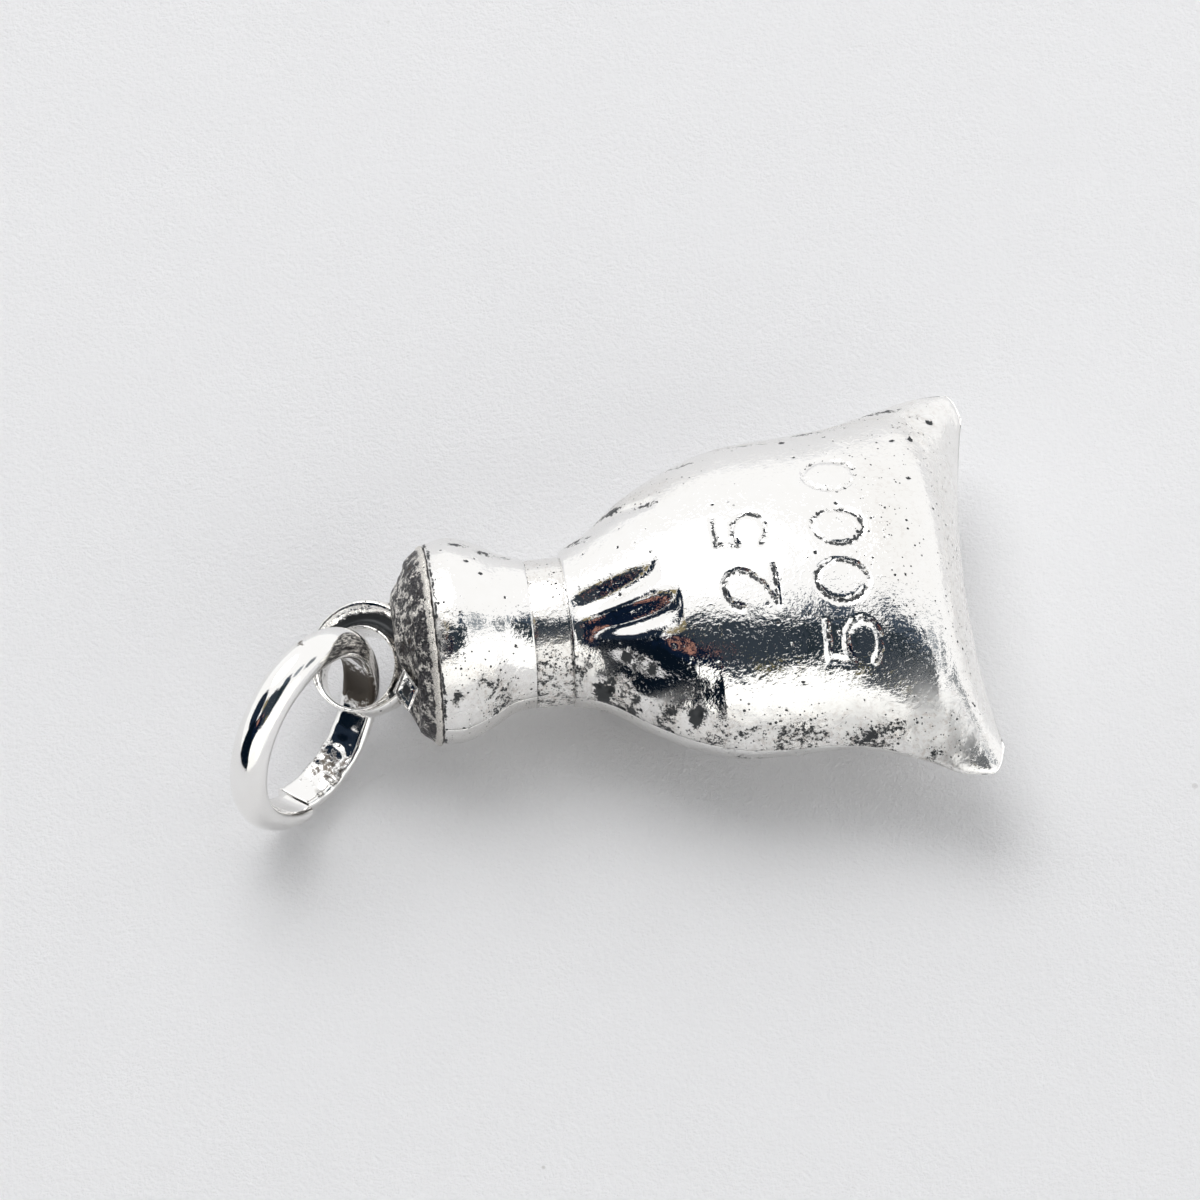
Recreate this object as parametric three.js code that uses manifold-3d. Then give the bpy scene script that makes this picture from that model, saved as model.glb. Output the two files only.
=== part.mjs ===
// A silver charm in the shape of a tied money bag, lying on its back, with the jump ring it hangs by.
// Millimetres, +Z up. The bag's axis runs along X from its mouth to its base, and Z = 0 is the table.
import * as THREE from 'three';
import { mergeVertices } from 'three/addons/utils/BufferGeometryUtils.js';
import Module from 'manifold-3d';

const wasm = await Module();
wasm.setup();

// The bag's main sizes. The neck runs from the mouth rim to the middle of the tie, and the body from there
// to the crease where the face turns over into the base.
const neckLength = 3.32;
const bodyLength = 11.48;
const mouthRadius = 2.88;
const waistRadius = 2.1;
const farHalfWidth = 6.44;
const nearHalfWidth = 6.14;
const bellyHalfThickness = 3.22;
const backWearDepth = 0.22;

// The outline of the neck. Each row gives a place along the neck, and how far the half width on the far
// side, that on the near side and the half thickness have grown from the waist's radius to the mouth's.
const neckOutline = [
  { at: 0, far: 1, near: 0.9231, thick: 0.9615 },
  { at: 0.1958, far: 1.1923, near: 0.9487, thick: 1.0256 },
  { at: 0.4367, far: 0.8974, near: 0.5385, thick: 0.6667 },
  { at: 0.6627, far: 0.359, near: 0.0513, thick: 0.2051 },
  { at: 1, far: 0, near: 0, thick: 0 },
];

// The outline of the body. The half widths grow from the waist's radius to the base's half widths, and the
// half thickness is a share of the belly's.
const bodyOutline = [
  { at: 0.1202, far: 0.1705, near: 0.099, thick: 0.7609 },
  { at: 0.216, far: 0.3871, near: 0.2921, thick: 0.8696 },
  { at: 0.3118, far: 0.5461, near: 0.4604, thick: 0.9472 },
  { at: 0.4338, far: 0.6912, near: 0.5941, thick: 0.9938 },
  { at: 0.547, far: 0.7488, near: 0.6312, thick: 1 },
  { at: 0.6603, far: 0.7834, near: 0.6386, thick: 0.97 },
  { at: 0.7474, far: 0.8295, near: 0.6832, thick: 0.92 },
  { at: 0.8519, far: 0.9263, near: 0.8218, thick: 0.865 },
  { at: 0.9303, far: 0.9908, near: 0.9604, thick: 0.775 },
  { at: 0.9695, far: 1, near: 0.99, thick: 0.7 },
  { at: 1, far: 1, near: 1, thick: 0.6 },
];
const shellWall = 0.6;
const baseBulge = 0.52;
const earReach = 0.55;
const earRounding = 0.85;
const baseSkew = 0.022;

// How lens-like a cross section is: 0.5 is a plain ellipse, and 1 is two arcs that meet in a sharp edge.
const neckFullness = 0.5;
const baseFullness = 0.7;
const lensStartShare = 0.1028;

// The face turns over into the base along a part of an ellipse, and towards the corners this much sooner.
const crownRounding = 1.3;
const rollStart = 0.55;
const rollSquareness = 0.55;

// Pleats that run out from under the tie, each from one place on the face to another.
// A place is a share of the body's length and a share of its half width there, + on the far side.
const pleats = [
  { from: [0.0767, 0.86], to: [0.2944, 0.58], depth: 0.16, width: 0.28 },
  { from: [0.0505, -0.24], to: [0.277, 0.02], depth: 0.28, width: 0.36 },
  { from: [0.0505, -0.54], to: [0.3206, -0.28], depth: 0.28, width: 0.36 },
  { from: [0.0549, -0.78], to: [0.399, -0.84], depth: 0.42, width: 0.4 },
];

// The tie, a flat silver strip bent round the waist in a shallow seat.
const tieWidth = 1.0;
const tieSeatDepth = 0.24;
const tieThickness = 0.26;
const tieEdge = 0.04;
const tieSideGap = 0.03;

// The plate that closes the mouth: a round edge and a low cone that carries the eye.
const plateEdge = 0.24;
const plateConeRadius = 2.36;
const plateHeight = 0.62;

// The solder that fills the corner round the foot of the eye.
const solderRadius = 2.3;
const solderTopRadius = 1.66;
const solderHeight = 0.48;
const solderClearance = 0.1;

// The eye: a drilled knob with its hole off centre, turned towards the face and drooping a little.
const eyeHoleRadius = 1.12;
const eyeRadius = 1.7;
const eyeDepth = 0.62;
const eyeDepthThick = 1.15;
const eyeSquareness = 0.8;
const eyeHoleAlong = 2.1;
const eyeHoleAcross = -0.35;
const eyeHoleBelow = 0.5;
const eyeOffset = [0.22, 0.36];
const eyeTurnDeg = 12;
const eyeDroopDeg = 20;

// A plain lozenge tab on the solder, at the near side.
const tabHeight = 1.26;
const tabWidth = 0.76;
const tabThickness = 0.3;
const tabStandOff = 0.33;
const tabRadius = 1.43;
const tabRoundDeg = 85;
const tabTurnDeg = 34;

// The jump ring: D-section wire, flat inside, bent round with its ends butted and left unsoldered.
const ringInnerRadius = 2.42;
const ringThickness = 0.7;
const ringWidth = 1.16;
const ringFlatWidth = 0.98;
const ringFlatStep = 0.08;
const ringGap = 0.1;
const ringCutDeg = -19;
const ringHeadingDeg = -42.7;
const ringLeanDeg = 11.2;
const ringSideShift = 0.12;
const ringFootClearance = 0.02;

// Mesh fineness.
const shellSteps = 34;
const shellSpokes = 26;
const baseSteps = 6;
const ringSteps = 56;
const domeSteps = 8;
const eyeSteps = 36;
const eyeSpokes = 12;
const roundSteps = 2 * shellSpokes;
const weldDistance = 1e-5;

// How many times the size of what it cuts a cutting block or drill is.
const cutterReach = 4;

const silver = { metalness: 1.0 };
const polishedSilver = new THREE.MeshStandardMaterial({ ...silver, color: 0xd9d8d4, roughness: 0.18 });
const castSilver = new THREE.MeshStandardMaterial({ ...silver, color: 0xcfcecb, roughness: 0.3 });
const backSilver = new THREE.MeshStandardMaterial({ ...silver, color: 0xc6c5c2, roughness: 0.34 });
const wornSilver = new THREE.MeshStandardMaterial({ ...silver, color: 0xd2d0cb, roughness: 0.26 });
const darkSilver = new THREE.MeshStandardMaterial({ ...silver, color: 0x5d5c5e, roughness: 0.55 });
const solderSilver = new THREE.MeshStandardMaterial({ ...silver, color: 0x6a686a, roughness: 0.6 });
const tabSilver = new THREE.MeshStandardMaterial({ ...silver, color: 0xb9b8b5, roughness: 0.3 });

// A smooth value between the rows of a table, through each row.
function smoothValue(rows, key, x) {
  const last = rows.length - 1;
  let i = 0;
  while (i < last - 1 && x > rows[i + 1].x) {
    i += 1;
  }
  const slopeAt = (k) => {
    const before = rows[Math.max(k - 1, 0)];
    const after = rows[Math.min(k + 1, last)];
    return (after[key] - before[key]) / (after.x - before.x);
  };
  const span = rows[i + 1].x - rows[i].x;
  const t = THREE.MathUtils.clamp((x - rows[i].x) / span, 0, 1);
  const rise = rows[i + 1][key] - rows[i][key];
  const startSlope = slopeAt(i) * span;
  const endSlope = slopeAt(i + 1) * span;
  const bend = t * (1 - t);
  const ease = t * t * (3 - 2 * t);
  return rows[i][key] + rise * ease + bend * (startSlope * (1 - t) - endSlope * t);
}

// The two outlines as one table in millimetres, with x from the mouth rim.
const bagOutline = [
  ...neckOutline.map((row) => ({
    x: row.at * neckLength,
    far: THREE.MathUtils.lerp(waistRadius, mouthRadius, row.far),
    near: THREE.MathUtils.lerp(waistRadius, mouthRadius, row.near),
    thick: THREE.MathUtils.lerp(waistRadius, mouthRadius, row.thick),
  })),
  ...bodyOutline.map((row) => ({
    x: neckLength + row.at * bodyLength,
    far: THREE.MathUtils.lerp(waistRadius, farHalfWidth, row.far),
    near: THREE.MathUtils.lerp(waistRadius, nearHalfWidth, row.near),
    thick: row.thick * bellyHalfThickness,
  })),
];
const bagCrease = neckLength + bodyLength;
const bagLength = bagCrease + baseBulge;
const lensStart = neckLength + lensStartShare * bodyLength;
const seamHeight = bellyHalfThickness - backWearDepth;
const tieSeatRadius = waistRadius - tieSeatDepth;
const tieStart = neckLength - tieWidth / 2;
const tieEnd = neckLength + tieWidth / 2;

// How much of the base's sweep and skew a place along the axis has: none at the middle, all at the crease.
function baseShare(x) {
  return THREE.MathUtils.smoothstep(x, (lensStart + bagCrease) / 2, bagCrease);
}

// The half widths, half thickness, shape and ear sweep of the cross section at a place along the axis.
function sectionAt(x) {
  const lens = THREE.MathUtils.smoothstep(x, lensStart, bagCrease);
  const crown = THREE.MathUtils.smoothstep(x, (lensStart + bagCrease) / 2, bagCrease - crownRounding);
  return {
    x,
    far: smoothValue(bagOutline, 'far', x),
    near: smoothValue(bagOutline, 'near', x),
    thick: smoothValue(bagOutline, 'thick', x),
    fullness: THREE.MathUtils.lerp(neckFullness, baseFullness, lens),
    rounding: crown * crownRounding,
    sweep: baseShare(x) * earReach,
    skew: baseShare(x) * baseSkew,
  };
}

// The seat of the tie is a true circle.
function tieSection(x) {
  const radius = tieSeatRadius;
  const round = { fullness: neckFullness, rounding: 0, sweep: 0, skew: 0 };
  return { x, far: radius, near: radius, thick: radius, ...round };
}

// The row of sections from the mouth to the base: neck, tie seat, body, and the roll over the base.
function bagSections() {
  const sections = [];
  const seatStart = tieStart - tieSideGap;
  const seatEnd = tieEnd + tieSideGap;
  const neckSteps = Math.round((shellSteps * seatStart) / bagCrease);
  for (let i = 0; i <= neckSteps; i += 1) {
    sections.push(sectionAt((seatStart * i) / neckSteps));
  }
  sections.push(tieSection(seatStart));
  sections.push(tieSection(seatEnd));
  const bodySteps = shellSteps - neckSteps;
  for (let i = 0; i <= bodySteps; i += 1) {
    sections.push(sectionAt(seatEnd + ((bagCrease - seatEnd) * i) / bodySteps));
  }
  const crease = sectionAt(bagCrease);
  for (let i = 1; i <= baseSteps; i += 1) {
    const u = Math.sin((Math.PI / 2) * (i / baseSteps));
    const draw = earRounding * u * u * u;
    sections.push({
      ...crease,
      x: bagCrease + baseBulge * u,
      far: crease.far - draw,
      near: crease.near - draw,
    });
  }
  return sections;
}

// How deep the pleats press the surface in at a place on the face.
function pleatDepth(x, y, section) {
  const half = y > 0 ? section.far : section.near;
  let depth = 0;
  for (const pleat of pleats) {
    const place = (x - neckLength) / bodyLength;
    const along = THREE.MathUtils.clamp((place - pleat.from[0]) / (pleat.to[0] - pleat.from[0]), 0, 1);
    const share = THREE.MathUtils.lerp(pleat.from[1], pleat.to[1], along);
    const centre = share * (share > 0 ? section.far : section.near);
    const beside = (y - centre) / pleat.width;
    const inside = place > pleat.from[0] && place < pleat.to[0];
    const fade = inside ? Math.sqrt(Math.sin(Math.PI * along)) : 0;
    depth += pleat.depth * fade * Math.exp(-beside * beside) * Math.sqrt(Math.max(1 - (y / half) ** 2, 0));
  }
  return depth;
}

// The half thickness at a place on a section. Towards the base's corners it falls away sooner.
function thickAt(section, across) {
  if (section.rounding === 0) {
    return section.thick;
  }
  const turn = bagCrease - crownRounding * across * across;
  const late = Math.min(section.x + section.rounding * across * across, bagCrease);
  const past = THREE.MathUtils.clamp((section.x - turn) / (bagLength - turn), 0, 1);
  const rolled = THREE.MathUtils.lerp(rollStart, 1, past);
  const share = (1 - rolled * rolled) / (1 - rollStart * rollStart);
  return smoothValue(bagOutline, 'thick', late) * share ** rollSquareness;
}

// One point of the bag's skin. The spoke runs from 0 at the far seam to 1 at the near seam.
// The inset is how far the skin lies inside the outer surface.
function skinPoint(section, spoke, inset) {
  const angle = Math.PI * spoke;
  const across = Math.cos(angle);
  const onSeam = spoke === 0 || spoke === 1;
  const half = (across > 0 ? section.far : section.near) - inset;
  const thick = Math.max(thickAt(section, across) - inset, 0);
  const y = half * across;
  const rise = onSeam ? 0 : thick * Math.sin(angle) ** (2 * section.fullness);
  const along = section.x * (1 - inset / bagLength);
  const x = along + section.sweep * across * across + section.skew * y;
  const press = inset > 0 ? 0 : pleatDepth(x, y, section);
  return new THREE.Vector3(x, y, rise - press);
}

// A closed solid from an outer and an inner skin, each a grid of rows, joined along their four edges.
function solidBetween(outer, inner) {
  const rows = outer.length;
  const columns = outer[0].length;
  const positions = [];
  for (const point of [...outer.flat(), ...inner.flat()]) {
    positions.push(point.x, point.y, point.z);
  }
  const index = [];
  const outerAt = (i, j) => i * columns + j;
  const innerAt = (i, j) => rows * columns + i * columns + j;
  const quad = (a, b, c, d) => index.push(a, c, b, a, d, c);
  for (let i = 0; i < rows - 1; i += 1) {
    for (let j = 0; j < columns - 1; j += 1) {
      quad(outerAt(i, j), outerAt(i + 1, j), outerAt(i + 1, j + 1), outerAt(i, j + 1));
      quad(innerAt(i, j), innerAt(i, j + 1), innerAt(i + 1, j + 1), innerAt(i + 1, j));
    }
  }
  for (let j = 0; j < columns - 1; j += 1) {
    quad(outerAt(0, j), outerAt(0, j + 1), innerAt(0, j + 1), innerAt(0, j));
    quad(outerAt(rows - 1, j + 1), outerAt(rows - 1, j), innerAt(rows - 1, j), innerAt(rows - 1, j + 1));
  }
  for (let i = 0; i < rows - 1; i += 1) {
    quad(outerAt(i + 1, 0), outerAt(i, 0), innerAt(i, 0), innerAt(i + 1, 0));
    const edge = columns - 1;
    quad(outerAt(i, edge), outerAt(i + 1, edge), innerAt(i + 1, edge), innerAt(i, edge));
  }
  const geometry = new THREE.BufferGeometry();
  geometry.setAttribute('position', new THREE.Float32BufferAttribute(positions, 3));
  geometry.setIndex(index);
  return geometry;
}

// A half shell of the bag, its rim lying flat in the seam.
function shellGeometry() {
  const spokes = Array.from({ length: shellSpokes + 1 }, (_, j) => j / shellSpokes);
  const skinRow = (section, inset) => spokes.map((spoke) => skinPoint(section, spoke, inset));
  const skin = (inset) => bagSections().map((section) => skinRow(section, inset));
  return solidBetween(skin(0), skin(shellWall));
}

// A ring or disc turned about X from a profile of [radius, place along X] points.
function turnedAboutX(profile, steps) {
  const points = profile.map(([radius, along]) => new THREE.Vector2(radius, along));
  const geometry = new THREE.LatheGeometry(points, steps);
  geometry.rotateZ(-Math.PI / 2);
  return geometry;
}

// The eye as a swept ring about its hole, thick where the hole is furthest from the knob's centre.
function eyeGeometry() {
  const offset = Math.hypot(eyeOffset[0], eyeOffset[1]);
  const heading = Math.atan2(eyeOffset[1], eyeOffset[0]);
  const thickest = eyeRadius + offset - eyeHoleRadius;
  const squared = (value) => Math.sign(value) * Math.abs(value) ** eyeSquareness;
  const positions = [];
  const index = [];
  for (let i = 0; i < eyeSteps; i += 1) {
    const angle = (2 * Math.PI * i) / eyeSteps;
    const turn = angle - heading;
    const chord = Math.sqrt(eyeRadius ** 2 - (offset * Math.sin(turn)) ** 2);
    const outerRadius = offset * Math.cos(turn) + chord;
    const wall = outerRadius - eyeHoleRadius;
    const depth = THREE.MathUtils.lerp(eyeDepth, eyeDepthThick, wall / thickest);
    const middle = eyeHoleRadius + wall / 2;
    for (let j = 0; j < eyeSpokes; j += 1) {
      const spoke = (2 * Math.PI * j) / eyeSpokes;
      const radius = middle + (wall / 2) * squared(Math.cos(spoke));
      const rise = (depth / 2) * squared(Math.sin(spoke));
      positions.push(radius * Math.cos(angle), radius * Math.sin(angle), rise);
      const nextI = (i + 1) % eyeSteps;
      const nextJ = (j + 1) % eyeSpokes;
      const a = i * eyeSpokes + j;
      const b = nextI * eyeSpokes + j;
      const c = nextI * eyeSpokes + nextJ;
      const d = i * eyeSpokes + nextJ;
      index.push(a, b, c, a, c, d);
    }
  }
  const geometry = new THREE.BufferGeometry();
  geometry.setAttribute('position', new THREE.Float32BufferAttribute(positions, 3));
  geometry.setIndex(index);
  return geometry;
}

// Solids for joining and cutting.
function solidFrom(geometry) {
  const bare = geometry.clone();
  bare.deleteAttribute('normal');
  bare.deleteAttribute('uv');
  const merged = mergeVertices(bare, weldDistance);
  const mesh = new wasm.Mesh({
    numProp: 3,
    vertProperties: new Float32Array(merged.attributes.position.array),
    triVerts: new Uint32Array(merged.index.array),
  });
  return new wasm.Manifold(mesh);
}

function geometryFrom(solid) {
  const mesh = solid.getMesh();
  const geometry = new THREE.BufferGeometry();
  geometry.setAttribute('position', new THREE.BufferAttribute(new Float32Array(mesh.vertProperties), 3));
  geometry.setIndex(new THREE.BufferAttribute(new Uint32Array(mesh.triVerts), 1));
  geometry.computeVertexNormals();
  return geometry;
}

// The eye's own frame, placed on the bag.
function eyePlacement() {
  const turn = new THREE.Matrix4().makeRotationX(THREE.MathUtils.degToRad(eyeTurnDeg));
  const droop = new THREE.Matrix4().makeRotationY(-THREE.MathUtils.degToRad(eyeDroopDeg));
  const placement = new THREE.Matrix4().makeTranslation(-eyeHoleAlong, eyeHoleAcross, -eyeHoleBelow);
  return placement.multiply(turn).multiply(droop);
}

// A box that fills everything on the bag's side of the eye's flat foot.
function beyondFoot() {
  const reach = cutterReach * mouthRadius;
  const box = new THREE.BoxGeometry(reach, reach, reach);
  box.translate(reach / 2 - plateHeight, 0, 0);
  return solidFrom(box);
}

// The back half is the front one mirrored, worn flat where the bag lies.
function backShell() {
  const geometry = shellGeometry();
  geometry.scale(1, 1, -1);
  const order = geometry.index.array;
  for (let i = 0; i < order.length; i += 3) {
    [order[i + 1], order[i + 2]] = [order[i + 2], order[i + 1]];
  }
  const reach = 2 * bagCrease;
  const table = new THREE.BoxGeometry(reach, reach, reach);
  table.translate(bagCrease / 2, 0, -seamHeight - reach / 2);
  return geometryFrom(solidFrom(geometry).subtract(solidFrom(table)));
}

function tieBand() {
  const outer = tieSeatRadius + tieThickness;
  const profile = [
    [tieSeatRadius, tieStart],
    [outer - tieEdge, tieStart],
    [outer, tieStart + tieEdge],
    [outer, tieEnd - tieEdge],
    [outer - tieEdge, tieEnd],
    [tieSeatRadius, tieEnd],
    [tieSeatRadius, tieStart],
  ];
  return turnedAboutX(profile, roundSteps);
}

function mouthPlate() {
  const profile = [
    [0, -plateHeight],
    [plateConeRadius, -plateHeight],
    [mouthRadius, -plateEdge],
    [mouthRadius, 0],
    [0, 0],
  ];
  return turnedAboutX(profile, roundSteps);
}

// The knob before its foot is cut flat.
function eyeKnob() {
  const eye = eyeGeometry();
  eye.applyMatrix4(eyePlacement());
  return solidFrom(eye);
}

// The hole drilled through the knob, run on past both faces and a little wider there.
function eyeBore() {
  const radius = eyeHoleRadius + solderClearance;
  const bore = new THREE.CylinderGeometry(radius, radius, cutterReach * eyeRadius, eyeSteps);
  bore.rotateX(Math.PI / 2);
  bore.applyMatrix4(eyePlacement());
  return solidFrom(bore);
}

function tabBlank() {
  const outline = new THREE.Shape();
  outline.moveTo(0, tabHeight / 2);
  outline.lineTo(-tabWidth / 2, 0);
  outline.lineTo(0, -tabHeight / 2);
  outline.lineTo(tabWidth / 2, 0);
  outline.closePath();
  const tab = new THREE.ExtrudeGeometry(outline, { depth: tabThickness, bevelEnabled: false });
  tab.rotateX(THREE.MathUtils.degToRad(tabTurnDeg));
  const round = THREE.MathUtils.degToRad(tabRoundDeg);
  tab.translate(-plateHeight - tabStandOff, -tabRadius * Math.sin(round), tabRadius * Math.cos(round));
  return solidFrom(tab);
}

function eyeSolder() {
  const profile = [
    [0, -plateHeight - solderHeight],
    [solderTopRadius, -plateHeight - solderHeight],
    [solderRadius, -plateHeight],
    [0, -plateHeight],
  ];
  const mound = solidFrom(turnedAboutX(profile, roundSteps));
  return geometryFrom(mound.subtract(eyeKnob()).subtract(eyeBore()).subtract(tabBlank()));
}

// The section of the ring's wire: a flat inside with eased corners and a domed outside.
function wireProfile() {
  const profile = [new THREE.Vector2(ringInnerRadius, -ringFlatWidth / 2)];
  for (let i = 0; i <= domeSteps; i += 1) {
    const angle = -Math.PI / 2 + (Math.PI * i) / domeSteps;
    const shoulder = ringInnerRadius + ringFlatStep;
    const radius = shoulder + (ringThickness - ringFlatStep) * Math.cos(angle);
    profile.push(new THREE.Vector2(radius, (ringWidth / 2) * Math.sin(angle)));
  }
  profile.push(new THREE.Vector2(ringInnerRadius, ringFlatWidth / 2));
  profile.push(profile[0].clone());
  return profile;
}

function jumpRing() {
  const hoop = new THREE.LatheGeometry(wireProfile(), ringSteps);
  hoop.rotateX(Math.PI / 2);
  const cut = new THREE.BoxGeometry(2 * ringThickness, ringGap, 2 * ringWidth);
  cut.translate(ringInnerRadius + ringThickness / 2, 0, 0);
  cut.rotateZ(THREE.MathUtils.degToRad(ringCutDeg));
  return geometryFrom(solidFrom(hoop).subtract(solidFrom(cut)));
}

function namedMesh(name, geometry, material) {
  const mesh = new THREE.Mesh(geometry, material);
  mesh.name = name;
  return mesh;
}

// The bag and what is soldered to it, in the bag's own frame, lifted to the height of its seam.
const bag = new THREE.Group();
bag.position.z = seamHeight;
bag.add(namedMesh('bag_front_shell', shellGeometry(), castSilver));
bag.add(namedMesh('bag_back_shell', backShell(), backSilver));
bag.add(namedMesh('tie_band', tieBand(), wornSilver));
bag.add(namedMesh('mouth_plate', mouthPlate(), darkSilver));
bag.add(namedMesh('eye_loop', geometryFrom(eyeKnob().subtract(beyondFoot())), wornSilver));
bag.add(namedMesh('eye_solder', eyeSolder(), solderSilver));
bag.add(namedMesh('lozenge_tab', geometryFrom(tabBlank().subtract(beyondFoot())), tabSilver));

// The ring stands on the table on its edge, leaning, with its wire through the middle of the eye.
const ring = namedMesh('jump_ring', jumpRing(), polishedSilver);
ring.rotation.order = 'ZYX';
ring.rotation.z = THREE.MathUtils.degToRad(ringHeadingDeg);
ring.rotation.y = Math.PI / 2 - THREE.MathUtils.degToRad(ringLeanDeg);
const ringNormal = new THREE.Vector3(0, 0, 1).applyEuler(ring.rotation);
const ringLevel = new THREE.Vector3(0, 1, 0).applyEuler(ring.rotation);
const ringUpright = new THREE.Vector3(-1, 0, 0).applyEuler(ring.rotation);
const wireRadius = ringInnerRadius + ringThickness / 2;
const ringCentreHeight = (ringInnerRadius + ringThickness) * ringUpright.z + ringFootClearance;
const crossingRise = seamHeight - eyeHoleBelow - ringCentreHeight;
const wireCrossing = Math.asin(crossingRise / (wireRadius * ringUpright.z));
ring.position.set(-eyeHoleAlong, eyeHoleAcross, 0);
ring.position.addScaledVector(ringNormal, ringSideShift);
ring.position.addScaledVector(ringLevel, -wireRadius * Math.cos(wireCrossing));
ring.position.addScaledVector(ringUpright, -wireRadius * Math.sin(wireCrossing));
ring.position.z = ringCentreHeight;

const charm = new THREE.Group();
charm.add(bag);
charm.add(ring);

// The middle of the whole charm's footprint is the origin.
charm.updateMatrixWorld(true);
const extent = new THREE.Box3().setFromObject(charm, true);
charm.position.x = -(extent.min.x + extent.max.x) / 2;
charm.position.y = -(extent.min.y + extent.max.y) / 2;
charm.position.z = -extent.min.z;

export default charm;
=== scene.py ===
"""A silver money bag charm: the visible pieces, their finishes and the stage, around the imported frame."""

import math

import bmesh
import bpy
import numpy as np
from bpy.props import FloatProperty, FloatVectorProperty, IntProperty, PointerProperty
from bpy.types import Operator, Panel, PropertyGroup
from mathutils import Matrix, Vector, noise


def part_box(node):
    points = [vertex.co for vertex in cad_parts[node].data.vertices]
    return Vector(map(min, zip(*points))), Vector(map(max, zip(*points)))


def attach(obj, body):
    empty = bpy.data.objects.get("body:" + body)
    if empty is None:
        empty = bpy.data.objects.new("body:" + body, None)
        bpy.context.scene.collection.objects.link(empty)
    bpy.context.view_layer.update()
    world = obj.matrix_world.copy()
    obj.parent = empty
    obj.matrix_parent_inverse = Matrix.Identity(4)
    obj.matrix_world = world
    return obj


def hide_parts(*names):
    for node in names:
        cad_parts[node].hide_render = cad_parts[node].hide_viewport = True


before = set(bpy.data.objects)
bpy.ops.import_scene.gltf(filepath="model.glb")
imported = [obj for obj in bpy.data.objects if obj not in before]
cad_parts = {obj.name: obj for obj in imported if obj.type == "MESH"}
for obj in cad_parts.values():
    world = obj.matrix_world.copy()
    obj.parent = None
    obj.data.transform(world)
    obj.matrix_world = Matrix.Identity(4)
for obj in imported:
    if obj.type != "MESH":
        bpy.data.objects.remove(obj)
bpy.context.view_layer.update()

bl_info = {
    "name": "Money bag charm",
    "version": (1, 0, 0),
    "blender": (4, 5, 0),
    "location": "3D View > Sidebar > Charm",
    "description": "Builds the charm's bag, eye, jump ring and stage",
    "category": "Add Mesh",
}

MM = 0.001

# The middle of the mouth's rim. The bag's own frame starts there, in millimetres, with X towards its base.
PLATE_LOW, PLATE_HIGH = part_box("mouth_plate")
MOUTH = Vector((PLATE_HIGH.x, (PLATE_LOW.y + PLATE_HIGH.y) / 2, (PLATE_LOW.z + PLATE_HIGH.z) / 2)) / MM

# The outline of the neck: a place along it, then how far the far half width, the near half width and the
# half thickness have grown from the waist's radius to the mouth's.
NECK_OUTLINE = np.array((
    (0.0, 1.0, 0.923, 0.962),
    (0.196, 1.192, 0.949, 1.026),
    (0.437, 0.897, 0.538, 0.667),
    (0.663, 0.359, 0.051, 0.205),
    (1.0, 0.0, 0.0, 0.0),
))

# The outline of the body: a place along it, how far the two half widths have grown from the waist's radius
# to the base's, and the half thickness as a share of the belly's.
BODY_OUTLINE = np.array((
    (0.12, 0.17, 0.099, 0.761),
    (0.216, 0.387, 0.292, 0.87),
    (0.312, 0.546, 0.46, 0.947),
    (0.434, 0.691, 0.594, 0.994),
    (0.547, 0.749, 0.631, 1.0),
    (0.66, 0.783, 0.639, 0.97),
    (0.747, 0.83, 0.683, 0.92),
    (0.852, 0.926, 0.822, 0.865),
    (0.93, 0.991, 0.96, 0.775),
    (0.97, 1.0, 0.99, 0.7),
    (1.0, 1.0, 1.0, 0.6),
))

# Pleats pressed in under the tie: from and to, each a share of the body's length and of its half width,
# then depth and width.
PLEATS = (
    ((0.077, 0.86), (0.294, 0.58), 0.16, 0.28),
    ((0.05, -0.24), (0.277, 0.02), 0.28, 0.36),
    ((0.05, -0.54), (0.32, -0.28), 0.28, 0.36),
    ((0.055, -0.78), (0.4, -0.84), 0.42, 0.4),
)

# The strokes of the figures, in a box one wide and one high.
ROUND = tuple((0.5 * math.cos(a * math.pi / 12), 0.5 * math.sin(a * math.pi / 12)) for a in range(25))
FIGURES = {
    "0": ROUND,
    "2": ((-0.46, 0.22), (-0.38, 0.4), (-0.16, 0.5), (0.14, 0.5), (0.37, 0.38), (0.44, 0.18), (0.34, -0.02),
          (0.08, -0.22), (-0.22, -0.38), (-0.46, -0.5), (0.48, -0.5)),
    "5": ((0.42, 0.5), (-0.36, 0.5), (-0.42, 0.06), (-0.12, 0.15), (0.18, 0.12), (0.4, -0.02), (0.46, -0.2),
          (0.36, -0.4), (0.1, -0.5), (-0.2, -0.5), (-0.46, -0.38)),
}

# Where each figure is stamped: the figure, its place along and across the bag, and how much tarnish it holds.
STAMPS = (
    ("2", 8.98, -1.0, 1.0),
    ("5", 8.9, 0.88, 0.95),
    ("5", 11.75, -2.65, 0.7),
    ("0", 11.62, -0.95, 1.0),
    ("0", 11.7, 0.8, 0.95),
    ("0", 11.72, 2.8, 0.72),
)


def length(name, description, default):
    return FloatProperty(name=name, description=description, default=default, unit="LENGTH",
                         subtype="DISTANCE", precision=5)


def colour(name, description, default):
    return FloatVectorProperty(name=name, description=description, default=default, subtype="COLOR", size=3,
                               min=0.0, max=1.0)


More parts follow.
